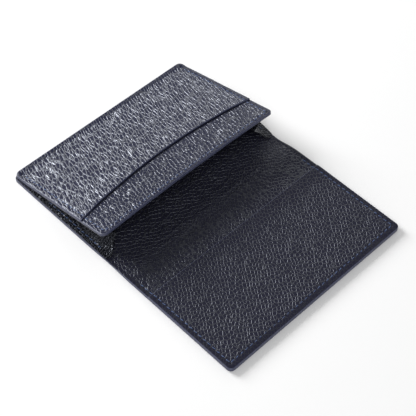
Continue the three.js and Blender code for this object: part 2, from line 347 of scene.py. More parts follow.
# Creases that bending has left in the lining: x0, y0, x1, y1, depth and width in millimetres.
FOLD_CREASES = [
    (-29, -8.6, 22, -9.6, 0.26, 0.9),
    (-12, -11.2, 30, -10.4, 0.12, 0.8),
    (-49, 0.8, -32, -6.4, 0.2, 0.7),
    (-47, -3.4, -36, -8.2, 0.16, 0.6),
    (-38, -2.2, -12, -6.6, 0.14, 0.8),
    (-6, -6.2, 30, -5.0, 0.13, 0.8),
    (24, -7.4, 46, -2.6, 0.16, 0.8),
    (-34, 3.2, 18, 2.4, 0.12, 0.9),
    (6, -2.0, 44, 0.6, 0.12, 0.8),
    (38, -1.0, 52, 4.0, 0.14, 0.7),
    (-53, 4.2, -40, 0.6, 0.12, 0.6),
]


def crease_depth(x, y):
    """How deep the lining's fold creases are at (x, y)."""
    depth = np.zeros_like(x)
    for x0, y0, x1, y1, deep, wide in FOLD_CREASES:
        run = np.clip((x / MM - x0) / (x1 - x0), -0.2, 1.2)
        bow = 0.9 * np.sin(run * math.pi) + 0.35 * np.sin(run * 9 + x0)
        off = y / MM - (y0 + (y1 - y0) * run + bow)
        ends = smooth(run, -0.05, 0.25) * (1 - smooth(run, 0.75, 1.05))
        depth = np.maximum(depth, deep * MM * ends * np.exp(-((off / wide) ** 2)))
    return depth


def pucker(x, y):
    """Small cross ripples of the lining along the fold."""
    u, v = x / MM, y / MM
    zone = np.exp(-(((v + 1) / 8) ** 2))
    ripple = np.sin(v * 1.9 + 1.3 * np.sin(u / 7)) * np.sin(u / 5.3 + v / 3)
    return 0.07 * MM * zone * ripple


def dimple(co, chosen, holes, depth, way, reach=0.85 * MM):
    """Draws the leather in round each needle hole; way is +1 for an upper face, -1 for a lower."""
    if not len(holes):
        return
    index = np.flatnonzero(chosen)
    for hx, hy in holes:
        near = index[
            (np.abs(co[index, 0] - hx) < reach) & (np.abs(co[index, 1] - hy) < reach)
        ]
        far = np.hypot(co[near, 0] - hx, co[near, 1] - hy) / reach
        co[near, 2] -= way * depth * np.clip(1 - far**2, 0, 1) ** 2


def side_holes(x, start, end, count):
    """Needle holes of count stitches down the left and the right side."""
    return [(side * x, y) for side in (-1, 1) for y in np.linspace(start, end, count + 1)]


def cross_holes(x, y, count):
    """Needle holes of count stitches from side to side at y."""
    return [(place, y) for place in np.linspace(-x, x, count + 1)]


class Seam:
    """Where the stitches of the flap, the front and the gussets are."""

    def __init__(self):
        s = sizes()
        self.flap_x = HALF_WIDTH - s.seam_side
        self.flap_end = s.seam_end - HALF_LENGTH
        self.flap_across = round(2 * self.flap_x / s.stitch)
        self.flap_along = round((-s.flap_seam_start - self.flap_end) / s.stitch)
        self.back_end = -self.flap_end
        self.front_x = FRONT_HALF_WIDTH - s.seam_side
        self.front_mouth = s.seam_mouth
        self.front_end = FRONT_WHOLE - s.seam_end
        self.front_across = round(2 * self.front_x / s.stitch)
        self.front_along = round((self.front_end - self.front_mouth) / s.stitch)
        self.gusset_along = round((GUSSET_FOOT[1] - GUSSET_FOOT[0]) / s.stitch)

    def flap_holes(self):
        start = -sizes().flap_seam_start
        sides = side_holes(self.flap_x, self.flap_end, start, self.flap_along)
        return sides + cross_holes(self.flap_x, self.flap_end, self.flap_across)

    def back_holes(self):
        sides = side_holes(self.flap_x, *GUSSET_FOOT, self.gusset_along)
        return sides + cross_holes(self.front_x, self.back_end, self.front_across)

    def front_holes(self):
        sides = side_holes(self.front_x, self.front_mouth, self.front_end, self.front_along)
        for y in (self.front_mouth, self.front_end):
            sides += cross_holes(self.front_x, y, self.front_across)
        return sides


def slip_edge(x):
    """The slip pocket's mouth: a long hollow arc, measured from the pocket's mouth."""
    s = sizes()
    radius = (FRONT_HALF_WIDTH**2 + s.slip_sag**2) / (2 * s.slip_sag)
    rise = np.sqrt(radius**2 - x**2) - (radius - s.slip_sag)
    return s.slip_reach + rise


def front_path():
    """The pocket front's run from its mouth to its sewn end, as distance, y, z and slope."""
    far = FRONT_LENGTH - FRONT_WHOLE
    t = np.linspace(far - MM, FRONT_LENGTH + MM, 800)
    slope = FRONT_TILT * smooth(t, -FRONT_BEND, FRONT_BEND)
    step = np.diff(t)
    mean = (slope[1:] + slope[:-1]) / 2
    y = np.append(0, np.cumsum(np.cos(mean) * step))
    z = np.append(0, np.cumsum(np.sin(mean) * step))
    y -= np.interp(FRONT_LENGTH, t, y) - FRONT_RUN
    z -= np.interp(FRONT_LENGTH, t, z) - FRONT_RISE
    return FRONT_LENGTH - t, BEND.y - y, BEND.z + z, slope


def raise_front(co):
    """Lifts what was sewn flat, at (x, distance from the mouth, height), off the shell."""
    reach, path_y, path_z, slope = (a[::-1] for a in front_path())
    x, run, up = co[:, 0], co[:, 1], co[:, 2]
    lean = np.interp(run, reach, slope)
    open_share = np.clip(1 - run / FRONT_LENGTH, 0, 1)
    crown = sizes().crown * (1 - (x / FRONT_HALF_WIDTH) ** 2) * open_share**1.3
    uneven = 0.16 * MM * swell(x, run, 0.7) * np.clip(open_share * 3, 0, 1)
    rise = up + (crown + uneven)
    out = co.copy()
    out[:, 1] = np.interp(run, reach, path_y) + rise * np.sin(lean)
    out[:, 2] = np.interp(run, reach, path_z) + rise * np.cos(lean)
    return out


# ---- materials ----
SOFT = {"interpolation_type": "SMOOTHSTEP"}
COLOUR_MIX = {"data_type": "RGBA"}
WARP = (1.1, 1.1, 1.1)  # how many pebbles the hide's uneven pull shifts the pattern
RIDGE = -0.5  # the wrinkles between the pebbles stand up by this share of the grain's depth


def add_node(tree, kind, links=None, **settings):
    """A shader node; links gives inputs a value, a socket, or a node for its first output."""
    made = tree.nodes.new(f"ShaderNode{kind}")
    for key, value in settings.items():
        setattr(made, key, value)
    for key, value in (links or {}).items():
        if isinstance(value, bpy.types.Node):
            value = value.outputs[0]
        if isinstance(value, bpy.types.NodeSocket):
            tree.links.new(value, made.inputs[key])
        else:
            made.inputs[key].default_value = value
    return made


def new_material(name):
    """A material with an empty node tree, and the tree."""
    made = bpy.data.materials.new(name)
    made.use_nodes = True
    made.node_tree.nodes.clear()
    return made, made.node_tree


def give_surface(made, looks):
    """Ends the material's tree with a Principled shader that has those looks."""
    shader = add_node(made.node_tree, "BsdfPrincipled", looks)
    add_node(made.node_tree, "OutputMaterial", {"Surface": shader})
    return made


def rgba(rgb, share=1.0):
    return (*[c * share for c in rgb], 1.0)


def leather(
    name, lit, deep, size, turn=0.0, stretch=(1, 1, 1), random=0.7, rows=0.04,
    gloss=0.24, relief=1.0, shine=0.95, dome=0.3, painted_highlight_share=0.05,
):
    """Pebbled leather: low pebbles between fine raised wrinkles, smaller pebbles and pores.

    size enlarges the pebbles, and stretch lengthens them along X, Y and Z, as the hide was
    pulled there. dome rounds the pebbles, shine is the gloss of the wrinkles' tops, and the
    last argument is how pale a painted highlight makes these. lit is the leather's own colour
    and deep a painted shade laid along the wrinkles. The grain attribute of a piece, 1 on open
    leather, fades it all on pressed margins.
    """
    made, tree = new_material(name)
    place = add_node(tree, "TexCoord").outputs["Object"]
    cell = [sizes().pebble * size * s for s in stretch]
    aligned = add_node(
        tree, "Mapping", {"Vector": place, "Rotation": (0, 0, turn), "Scale": cell},
        vector_type="TEXTURE",
    )
    drift = add_node(tree, "TexNoise", {"Vector": aligned, "Scale": 0.16, "Detail": 1.5})
    warped = add_node(
        tree, "VectorMath", {0: drift.outputs["Color"], 1: WARP, 2: aligned},
        operation="MULTIPLY_ADD",
    )
    pebbles = {"Vector": warped, "Scale": 1.0, "Randomness": random}
    far = add_node(tree, "TexVoronoi", pebbles, feature="F1")
    borders = add_node(tree, "TexVoronoi", pebbles, feature="DISTANCE_TO_EDGE")
    small = add_node(tree, "TexVoronoi", {"Vector": warped, "Scale": 2.6}, feature="F1")
    pores = add_node(tree, "TexNoise", {"Vector": aligned, "Scale": 6.0, "Detail": 3.0})
    grain = add_node(tree, "Attribute", attribute_name="grain").outputs["Fac"]

    crease = add_node(tree, "MapRange", {0: borders, 2: 0.16}, **SOFT)
    sag = add_node(tree, "Math", {0: far, 1: far}, operation="MULTIPLY")
    small_sag = add_node(tree, "Math", {0: small, 1: small}, operation="MULTIPLY")
    x = add_node(tree, "SeparateXYZ", {"Vector": warped})
    phase = {0: x, 1: 2 * math.pi, 2: -math.pi * random}
    phase = add_node(tree, "Math", phase, operation="MULTIPLY_ADD")
    wave = add_node(tree, "Math", {0: phase}, operation="COSINE")
    height = dome
    layers = ((sag, -dome), (crease, RIDGE), (wave, rows), (small_sag, -0.1), (pores, 0.04))
    for layer, share in layers:
        terms = {0: layer, 1: share, 2: height}
        height = add_node(tree, "Math", terms, operation="MULTIPLY_ADD")
    height = add_node(tree, "Math", {0: height, 1: grain}, operation="MULTIPLY")
    depth = sizes().grain_depth * relief * size

    patchy = add_node(tree, "TexNoise", {"Vector": aligned, "Scale": 0.08, "Detail": 2.0})
    patchy = add_node(tree, "Math", {0: patchy, 1: 0.5}, operation="MULTIPLY")
    # painted shade: the colour darkens to deep along the wrinkles between the pebbles; patchy is
    # the leather's own uneven tone
    tone = add_node(tree, "Math", {0: crease, 1: 0.75, 2: patchy}, operation="MULTIPLY_ADD")
    tone = add_node(tree, "Math", {0: tone, 1: 1.0}, operation="MINIMUM")
    base = add_node(tree, "Mix", {0: tone, 6: rgba(deep), 7: rgba(lit)}, **COLOUR_MIX).outputs[2]
    # painted highlight: the colour pales along the wrinkles' tops, less on pressed margins
    painted_highlight = add_node(tree, "MapRange", {0: borders, 2: 0.08, 3: painted_highlight_share, 4: 0.0}, **SOFT)
    painted_highlight = add_node(tree, "Math", {0: painted_highlight, 1: grain}, operation="MULTIPLY")
    shades = {0: painted_highlight, 6: base, 7: rgba(colours().painted_highlight)}

    limits = {0: borders, 1: 0.05, 2: 0.16, 3: shine, 4: 0.32 * shine}
    polish = add_node(tree, "MapRange", limits, **SOFT)
    open_share = add_node(tree, "Math", {0: grain, 1: 0.6, 2: 0.4}, operation="MULTIPLY_ADD")
    looks = {
        "Base Color": add_node(tree, "Mix", shades, **COLOUR_MIX).outputs[2],
        "Roughness": add_node(tree, "MapRange", {0: crease, 3: gloss + 0.2, 4: gloss}, **SOFT),
        "Specular IOR Level": add_node(
            tree, "Math", {0: polish, 1: open_share}, operation="MULTIPLY"
        ),
        "Specular Tint": (0.82, 0.87, 1.0, 1.0),
        "Normal": add_node(tree, "Bump", {"Height": height, "Distance": depth}),
    }
    return give_surface(made, looks)


def plain(name, tint, shades, kind, pattern, depth, rough, **settings):
    """A finish with one fine pattern, which sets its tone, its relief and its roughness.

    shades are the shares of the tint at the pattern's lowest and highest, and rough gives the
    pattern's low and high limit and the roughness at each.
    """
    made, tree = new_material(name)
    place = add_node(tree, "TexCoord").outputs["Object"]
    fine = add_node(tree, kind, {"Vector": place, **pattern}, **settings)
    dark, pale = (rgba(tint, share) for share in shades)
    looks = {
        "Base Color": add_node(tree, "Mix", {0: fine, 6: dark, 7: pale}, **COLOUR_MIX).outputs[2],
        "Roughness": add_node(tree, "MapRange", {0: fine, **dict(enumerate(rough, 1))}, **SOFT),
        "Normal": add_node(tree, "Bump", {"Height": fine, "Distance": depth}),
    }
    return give_surface(made, looks)


_made = {}


def material(key):
    """Each finish is made once, when a piece first asks for it."""
    c = colours()
    navy, inner = (c.navy, c.navy_crease_shade), (c.inner, c.inner_crease_shade)
    fibres, matt = (0.6, 1.1), (0, 1, 0.9, 0.9)
    makers = {
        # calf leather, milled to raise its grain: low pebbles that glint along their wrinkles,
        # which carry a painted highlight and a painted shade
        "cover": lambda: leather(
            "pebbled calf leather, navy, cover", *navy, 0.7, 0.4, (1, 1.4, 1), shine=0.9
        ),
        "front": lambda: leather(
            "pebbled calf leather, navy, pocket front", *navy, 0.76, -0.36, (1, 1.3, 1),
            relief=1.1, gloss=0.18, dome=0.35,
        ),
        "slip": lambda: leather(
            "pebbled calf leather, navy, slip pocket", *navy, 0.64, -0.34, (1, 4, 1),
            random=0.85, rows=0.05, gloss=0.2, relief=1.2, shine=1.15, painted_highlight_share=0.06,
        ),
        "inner": lambda: leather(
            "pebbled calf leather, dark navy, lining", *inner, 0.72, -0.6, (1, 1.2, 1),
            relief=1.3, painted_highlight_share=0.04,
        ),
        "flap": lambda: leather(
            "pebbled calf leather, dark navy, flap pocket", *inner, 0.68, -0.6, (1, 1.4, 1),
            relief=0.95, shine=0.66, gloss=0.3, painted_highlight_share=0.06,
        ),
        # thin goat leather, glazed: deep small pebbles with a wet shine
        "gusset": lambda: leather(
            "thin pebbled goat leather, black navy, glossy", c.gusset, c.navy_crease_shade, 0.55,
            gloss=0.15, relief=1.7, shine=1.0, dome=0.5, painted_highlight_share=0.02,
        ),
        # edge paint over burnished leather: smooth, slightly uneven, a little paler than the dye
        "edge": lambda: plain(
            "painted leather edge, navy", c.edge, (0.7, 1.2), "TexNoise",
            {"Scale": 0.6 / MM, "Detail": 3.0}, 0.05 * MM, (0.3, 0.7, 0.35, 0.5),
        ),
        # waxed polyester: a fine twist, drawn at the thread's own width, with a dull shine
        "thread": lambda: plain(
            "waxed polyester thread, slate blue", c.thread, (0.6, 1.1), "TexWave",
            {"Scale": 0.5 / MM, "Distortion": 1.0}, 0.06 * MM, (0, 1, 0.85, 0.7),
            bands_direction="DIAGONAL",
        ),
        # bonded board and non-woven tape: matted fibres, matt
        "board": lambda: plain(
            "bonded grey board", c.board, fibres, "TexNoise",
            {"Scale": 2.5 / MM, "Detail": 6.0}, 0.05 * MM, matt,
        ),
        "tape": lambda: plain(
            "non-woven reinforcing tape", c.tape, fibres, "TexNoise",
            {"Scale": 4 / MM, "Detail": 6.0}, 0.05 * MM, matt,
        ),
    }
    if key not in _made:
        _made[key] = makers[key]()
    return _made[key]


# ---- pieces ----
def shell_lines():
    """Mesh lines of the shell, with one on every needle hole of the flap."""
    s = sizes()
    seam = Seam()
    corner = HALF_WIDTH - s.corner
    xs = lines((-HALF_WIDTH, -corner, corner, HALF_WIDTH), 2 * seam.flap_x / seam.flap_across / 4)
    start = -s.flap_seam_start
    step = (start - seam.flap_end) / seam.flap_along / 4
    keys = (-HALF_LENGTH, seam.flap_end, start, -seam.flap_end, HALF_LENGTH)
    ys = lines(keys, step)
    outside = ys[np.abs(ys) > TIGHT_BEND + 0.1 * MM]
    return xs, np.sort(np.append(outside, lines((-TIGHT_BEND, TIGHT_BEND), BEND_STEP)))


def pressed(outside, share=0.7):
    """1 on open leather, less by that share on a margin; outside is the way past its seam."""
    return 1 - share * smooth(outside, -0.3 * MM, 0.5 * MM)


def side_margin(x, half_width):
    """Grain of a leather whose margins outside the side seams are pressed."""
    return pressed(np.abs(x) - half_width + sizes().seam_side)


def shell_layer(name, z, face, rims):
    """One leather over the back, the fold and the flap."""
    xs, ys = shell_lines()
    sheet = cut_sheet(name, xs, ys, material(face), material("edge"))
    for end, inward in ((ys[0], 1), (ys[-1], -1)):
        round_corners(sheet, end, inward, sizes().corner)
    thicken(sheet, *z)
    soften_rim(sheet, *z, *rims)
    return sheet


def join_fold(obj):
    """Bakes the piece's place into its mesh, for a piece that runs over the shell's fold."""
    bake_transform(obj)


class CARDHOLDER_OT_cover(bpy.types.Operator):
    """Outer leather: one piece over the back, the fold and the flap"""

    bl_idname = "card_holder.cover"
    bl_label = "Outer cover"

    def execute(self, context):
        cover = shell_layer("outer_cover", COVER_Z, "cover", (0.12 * MM, 0.35 * MM))
        seam = Seam()
        co = points_of(cover)
        under = co[:, 2] < sum(COVER_Z) / 2
        x, y = co[:, 0], co[:, 1]
        co[under, 2] += 0.05 * MM * (1 + swell(x[under], y[under], 3.1))
        dimple(co, under, seam.flap_holes() + seam.back_holes(), 0.28 * MM, -1)
        mark(cover, "grain", side_margin(x, HALF_WIDTH))
        set_points(cover, settle(co))
        finish_piece(cover)
        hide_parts("back_cover", "fold_cover", "flap_cover")
        join_fold(cover)
        return {"FINISHED"}


class CARDHOLDER_OT_lining(bpy.types.Operator):
    """Shell lining: one piece, creased where it folds"""

    bl_idname = "card_holder.lining"
    bl_label = "Shell lining"

    def execute(self, context):
        lining = shell_layer("shell_lining", LINING_Z, "inner", (0.22 * MM, 0.1 * MM))
        co = points_of(lining)
        x, y = co[:, 0], co[:, 1]
        top = co[:, 2] > sum(LINING_Z) / 2
        inside = smooth(HALF_WIDTH - np.abs(x), 0.2 * MM, 3 * MM)
        relief = pucker(x, y) - crease_depth(x, y)
        bare = smooth(y, FLAP_MOUTH_Y, FLAP_MOUTH_Y + 3 * MM) * (1 - smooth(y, 60 * MM, 66 * MM))
        relief = (relief + 0.06 * MM * swell(x, y, 1.3)) * inside * bare
        line = np.exp(-(((np.abs(x) - HALF_WIDTH + 1.8 * MM) / (0.4 * MM)) ** 2))
        open_side = smooth(y, FLAP_MOUTH_Y, FLAP_MOUTH_Y + MM) * (1 - smooth(y, 7 * MM, 9 * MM))
        co[top, 2] += (relief - 0.14 * MM * line * open_side)[top]
        holes = [h for h in Seam().flap_holes() if h[1] > FLAP_MOUTH_Y]
        dimple(co, top, holes, 0.3 * MM, 1)
        calm = 1 - 0.45 * (1 - smooth(np.abs(y + 15 * MM), 4 * MM, 12 * MM))
        mark(lining, "grain", side_margin(x, HALF_WIDTH) * calm)
        set_points(lining, settle(co))
        finish_piece(lining)
        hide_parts("back_lining", "fold_lining", "flap_lining")
        join_fold(lining)
        return {"FINISHED"}


class CARDHOLDER_OT_flap_pocket(bpy.types.Operator):
    """Slip pocket of the flap, sewn down on three sides, with a straight mouth at the fold"""

    bl_idname = "card_holder.flap_pocket"
    bl_label = "Flap slip pocket"

    def execute(self, context):
        s = sizes()
        seam = Seam()
        xs, shell_ys = shell_lines()
        step = shell_ys[10] - shell_ys[9]
        ys = lines((-HALF_LENGTH, seam.flap_end, FLAP_MOUTH_Y), step)
        pocket = cut_sheet("flap_pocket", xs, ys, material("flap"), material("edge"))
        round_corners(pocket, ys[0], 1, s.corner)
        thicken(pocket, *PATCH_Z)
        soften_rim(pocket, *PATCH_Z, 0.25 * MM, 0.08 * MM)
        co = points_of(pocket)
        x, y = co[:, 0], co[:, 1]
        top = co[:, 2] > sum(PATCH_Z) / 2
        inside = smooth(HALF_WIDTH - np.abs(x), 2 * MM, 9 * MM) * smooth(y, ys[0], ys[0] + 9 * MM)
        lift = inside * (0.1 * MM + 0.1 * MM * swell(x, y, 2.2))
        co[:, 2] += lift
        outside = np.maximum(np.abs(x) - seam.flap_x, seam.flap_end - y)
        co[top, 2] -= (0.16 * MM * smooth(outside, -0.4 * MM, s.seam_side))[top]
        dimple(co, top, [h for h in seam.flap_holes() if h[1] < FLAP_MOUTH_Y], NEEDLE_PULL, 1)
        worked = 0.55 + 0.45 * smooth(-y, -FLAP_MOUTH_Y, -FLAP_MOUTH_Y + 14 * MM)
        mark(pocket, "grain", side_margin(x, HALF_WIDTH) * worked * pressed(seam.flap_end - y))
        set_points(pocket, settle(co))
        finish_piece(pocket)
        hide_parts("flap_slip_pocket")
        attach(pocket, "flap")
        return {"FINISHED"}


def front_lines():
    """Mesh lines of the pocket front, laid flat, with one on every needle hole."""
    s = sizes()
    seam = Seam()
    corner = FRONT_HALF_WIDTH - s.corner
    xs = lines(
        (-FRONT_HALF_WIDTH, -corner, corner, FRONT_HALF_WIDTH),
        2 * seam.front_x / seam.front_across / 4,
    )
    step = (seam.front_end - seam.front_mouth) / seam.front_along / 4
    return xs, lines((0, seam.front_mouth, seam.front_end, FRONT_WHOLE), step)


def front_margin(x, run):
    """Grain of the front's leathers: pressed flat outside the seams."""
    seam = Seam()
    outside = np.maximum(seam.front_mouth - run, run - seam.front_end)
    return side_margin(x, FRONT_HALF_WIDTH) * pressed(outside)


def join_front(obj):
    """Bakes the piece's place into its mesh, for a piece of the raised pocket front."""
    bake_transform(obj)


class CARDHOLDER_OT_pocket_front(bpy.types.Operator):
    """Front of the gusset pocket: lining and outer leather, raised off the shell"""

    bl_idname = "card_holder.pocket_front"
    bl_label = "Pocket front"

    def execute(self, context):
        s = sizes()
        seam = Seam()
        layers = (
            ("pocket_inner", (0, s.front_lining), "inner", (0.08 * MM, 0.2 * MM)),
            ("pocket_face", (s.front_lining + 0.05 * MM, FRONT_W), "front", (0.25 * MM, 0.1 * MM)),
        )
        for name, w, face, rims in layers:
            xs, ys = front_lines()
            sheet = cut_sheet(name, xs, ys, material(face), material("edge"))
            round_corners(sheet, ys[0], 1, s.corner)
            round_corners(sheet, ys[-1], -1, s.corner)
            thicken(sheet, *w)
            soften_rim(sheet, *w, *rims)
            co = points_of(sheet)
            x, run = co[:, 0], co[:, 1]
            top = co[:, 2] > sum(w) / 2
            if name == "pocket_face":
                outside = np.maximum(np.abs(x) - seam.front_x, seam.front_mouth - run)
                co[top, 2] -= (0.14 * MM * smooth(outside, 0, s.seam_side))[top]
                dimple(co, top, seam.front_holes(), NEEDLE_PULL, 1)
            mark(sheet, "grain", front_margin(x, run))
            set_points(sheet, raise_front(co))
        inner, face = (bpy.data.objects[n] for n in ("pocket_inner", "pocket_face"))
        finish_piece(inner)
        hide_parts("pocket_lining")
        join_front(inner)
        finish_piece(face)
        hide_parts("pocket_front", "pocket_front_sewn_end")
        join_front(face)
        return {"FINISHED"}


class CARDHOLDER_OT_slip_pocket(bpy.types.Operator):
    """Slip pocket on the front: its mouth is a long hollow arc that stands a little open"""

    bl_idname = "card_holder.slip_pocket"
    bl_label = "Arc slip pocket"

    def execute(self, context):
        s = sizes()
        seam = Seam()
        xs, ys = front_lines()
        first = np.searchsorted(ys, s.slip_reach + s.slip_sag)
        ys = ys[first:]
        slip = cut_sheet("card_slip", xs, ys, material("slip"), material("edge"))
        round_corners(slip, ys[-1], -1, s.corner)
        co = points_of(slip)
        morph = 26 * MM
        share = np.clip(1 - (co[:, 1] - ys[0]) / morph, 0, 1)
        co[:, 1] += (slip_edge(co[:, 0]) - ys[0]) * share
        set_points(slip, co)
        thicken(slip, *SLIP_W)
        soften_rim(slip, *SLIP_W, 0.22 * MM, 0.08 * MM)
        co = points_of(slip)
        x, run = co[:, 0], co[:, 1]
        top = co[:, 2] > sum(SLIP_W) / 2
        inside = smooth(FRONT_HALF_WIDTH - np.abs(x), 2.5 * MM, 14 * MM)
        from_mouth = run - slip_edge(x)
        co[:, 2] += s.gape * inside * np.exp(-np.clip(from_mouth, 0, 1) / (7 * MM))
        end_slope = smooth(run, seam.front_end - 0.5 * MM, FRONT_WHOLE)
        side_slope = smooth(np.abs(x), seam.front_x - 0.3 * MM, FRONT_HALF_WIDTH)
        co[top, 2] -= (0.16 * MM * side_slope + 0.3 * MM * end_slope)[top]
        dimple(co, top, seam.front_holes(), NEEDLE_PULL, 1)
        rolled = 0.4 + 0.6 * smooth(from_mouth, 0.2 * MM, 1.2 * MM)
        mark(slip, "grain", front_margin(x, run) * rolled)
        set_points(slip, raise_front(co))
        finish_piece(slip)
        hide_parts("slip_pocket", "slip_pocket_sewn_end")
        join_front(slip)
        return {"FINISHED"}


def gusset_section(y, steps):
    """One cross section of a gusset: outer margin, two leaves that meet in a V, upper margin."""
    low = BEND.z + GUSSET_WALL / 2
    high = BEND.z + (BEND.y - y) * math.tan(FRONT_TILT) - GUSSET_WALL / 2 - GUSSET_CLEAR
    high = max(high, low + 0.02 * MM)
    flat = HALF_WIDTH - 3.7 * MM
    rise = (high - low) / 2
    tip = flat - math.sqrt(GUSSET_LEAF**2 - rise**2)
    foot, top = (HALF_WIDTH - 0.25 * MM, low), (FRONT_HALF_WIDTH - 0.5 * MM, high)
    corners = np.array([foot, (flat, low), (tip, low + rise), (flat, high), top])
    travel = np.append(0, np.cumsum(np.hypot(*np.diff(corners, axis=0).T)))
    at = np.linspace(0, travel[-1], steps + 1)
    section = np.column_stack([np.interp(at, travel, corners[:, k]) for k in (0, 1)])
    for _ in range(4):
        section[1:-1] = (section[:-2] + 2 * section[1:-1] + section[2:]) / 4
    return section


class CARDHOLDER_OT_gussets(bpy.types.Operator):
    """The two gussets: thin folded strips that let the pocket stand open"""

    bl_idname = "card_holder.gussets"
    bl_label = "Gussets"

    def execute(self, context):
        steps = sizes().gusset_steps
        for side, name in ((-1, "left_gusset"), (1, "right_gusset")):
            across = np.linspace(-1, 1, steps + 1)
            along = lines((0, 56 * MM), 0.8 * MM)
            strip = cut_sheet(f"{name}_leather", across, along, *[material("gusset")] * 2)
            co = points_of(strip)
            fall = smooth(co[:, 0], -1, 0)
            round_off = 1.8 * MM * (1 - smooth(co[:, 0], -1, -0.8)) ** 2
            share = 1 - co[:, 1] / along[-1]
            y = GUSSET_FREE_Y - 1.3 * MM + co[:, 1] + (4.6 * MM * fall + round_off) * share
            placed = np.empty_like(co)
            for k, (u, py) in enumerate(zip(co[:, 0], y)):
                section = gusset_section(py, steps)
                x, z = section[round((u + 1) / 2 * steps)]
                placed[k] = (x, py, z)
            lower = 1 - smooth(co[:, 0], -0.6, 0.3)
            placed[:, 2] -= lower * LINING_Z[1] * fold_squeeze(placed[:, 0], placed[:, 1])
            ripple = 0.22 * MM * swell(placed[:, 1] * 2.1, placed[:, 2] * 3 + placed[:, 0], side)
            placed[:, 0] += ripple * (1 - np.abs(co[:, 0]) ** 4)
            placed[:, 0] *= side
            placed[:, 0] += lower * pinch(placed[:, 0], placed[:, 1])
            set_points(strip, placed)
            thicken(strip, 0, GUSSET_WALL, offset=0)
            bpy.ops.object.mode_set(mode="EDIT")
            bpy.ops.mesh.select_all(action="SELECT")
            bpy.ops.mesh.normals_make_consistent(inside=False)
            bpy.ops.object.mode_set(mode="OBJECT")
            mark(strip, "grain", np.ones(len(strip.data.vertices)))
            finish_piece(strip, 60)
            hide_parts(name)
            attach(strip, "back")
            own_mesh(strip)
        return {"FINISHED"}


class CARDHOLDER_OT_stiffeners(bpy.types.Operator):
    """Hidden boards and tapes between the leathers"""

    bl_idname = "card_holder.stiffeners"
    bl_label = "Boards and tapes"

    def execute(self, context):
        flat_ones = (("back_board", "back"), ("flap_board", "flap"))
        for node, body in flat_ones:
            low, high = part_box(node)
            sheet = self.sheet(node, (low.x, high.x), (low.y, high.y), "board")
            thicken(sheet, low.z, high.z)
            set_points(sheet, settle(points_of(sheet)))
            finish_piece(sheet)
            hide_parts(node)
            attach(sheet, body)
        low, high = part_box("fold_tape")
        tape = self.sheet("fold_tape", (low.x, high.x), (low.y, high.y), "tape", BEND_STEP)
        thicken(tape, low.z, high.z)
        set_points(tape, settle(points_of(tape)))
        finish_piece(tape)
        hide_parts("fold_tape")
        join_fold(tape)
        under = sizes().front_lining
        for node, finish, deep in (("pocket_board", "board", 0.25), ("mouth_tape", "tape", 0.12)):
            low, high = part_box(node)
            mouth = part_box("pocket_lining")[0].y
            run = [(y - mouth) / math.cos(FRONT_TILT) for y in (low.y, high.y)]
            sheet = self.sheet(node, (low.x, high.x), run, finish)
            thicken(sheet, under, under + deep * MM)
            set_points(sheet, raise_front(points_of(sheet)))
            finish_piece(sheet)
            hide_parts(node)
            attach(sheet, "pocket")
        return {"FINISHED"}

    def sheet(self, node, x_span, y_span, finish, y_step=BOARD_STEP):
        """A plain sheet named after the node that it stands for."""
        xs, ys = lines(x_span, BOARD_STEP), lines(y_span, y_step)
        return cut_sheet(f"{node}_sheet", xs, ys, *[material(finish)] * 2)


def stitch_row(start, step, count, slant=0.14):
    """A straight row of stitches on z = 0: each is one slanted float between two holes."""
    s = sizes()
    pitch = math.hypot(*step[:2])
    turn = math.atan2(step[1], step[0]) - math.pi / 2 + slant
    bpy.ops.object.select_all(action="DESELECT")
    bpy.ops.mesh.primitive_uv_sphere_add(segments=8, ring_count=6, radius=1)
    row = bpy.context.object
    bpy.ops.object.mode_set(mode="EDIT")
    bpy.ops.mesh.select_all(action="SELECT")
    bpy.ops.transform.rotate(
        value=math.pi / 2, orient_axis="X", orient_type="GLOBAL", center_override=(0, 0, 0)
    )
    bpy.ops.transform.resize(
        value=(s.thread / 2, 0.36 * pitch, 0.42 * s.thread), center_override=(0, 0, 0)
    )
    bpy.ops.object.mode_set(mode="OBJECT")
    co = points_of(row)
    cos, sin = math.cos(turn), math.sin(turn)
    co[:, :2] = np.column_stack(
        [co[:, 0] * cos - co[:, 1] * sin, co[:, 0] * sin + co[:, 1] * cos]
    )
    set_points(row, co + (start[0] + step[0] / 2, start[1] + step[1] / 2, 0))
    again = row.modifiers.new("again", "ARRAY")
    again.count = count
    again.use_relative_offset = False
    again.use_constant_offset = True
    again.constant_offset_displace = (*step, 0)
    bpy.ops.object.modifier_apply(modifier=again.name)
    return row


def lay_rows(runs, height):
    """Rows of stitches along straight runs, each given as start, end and number of stitches.

    They lie on a surface whose height is a function of x and y.
    """
    rows = []
    for a, b, n in runs:
        row = stitch_row(a, ((b[0] - a[0]) / n, (b[1] - a[1]) / n), n)
        co = points_of(row)
        co[:, 2] += height(co[:, 0], co[:, 1])
        set_points(row, co)
        rows.append(row)
    return rows


def beside(x, start, end, count):
    """The two runs of a seam down the left and the right side."""
    return [((side * x, start), (side * x, end), count) for side in (-1, 1)]


def across(x, y, count):
    """The run of a seam from side to side at y."""
    return [((-x, y), (x, y), count)]


def join_rows(name, rows, shape):
    """Joins the rows into one seam, and takes it through the same shaping as its leather."""
    bpy.ops.object.select_all(action="DESELECT")
    for row in rows:
        row.select_set(True)
    bpy.context.view_layer.objects.active = rows[0]
    if len(rows) > 1:
        bpy.ops.object.join()
    seam = bpy.context.object
    seam.name = seam.data.name = name
    set_points(seam, shape(points_of(seam)))
    seam.data.materials.append(material("thread"))
    return finish_piece(seam, 80)


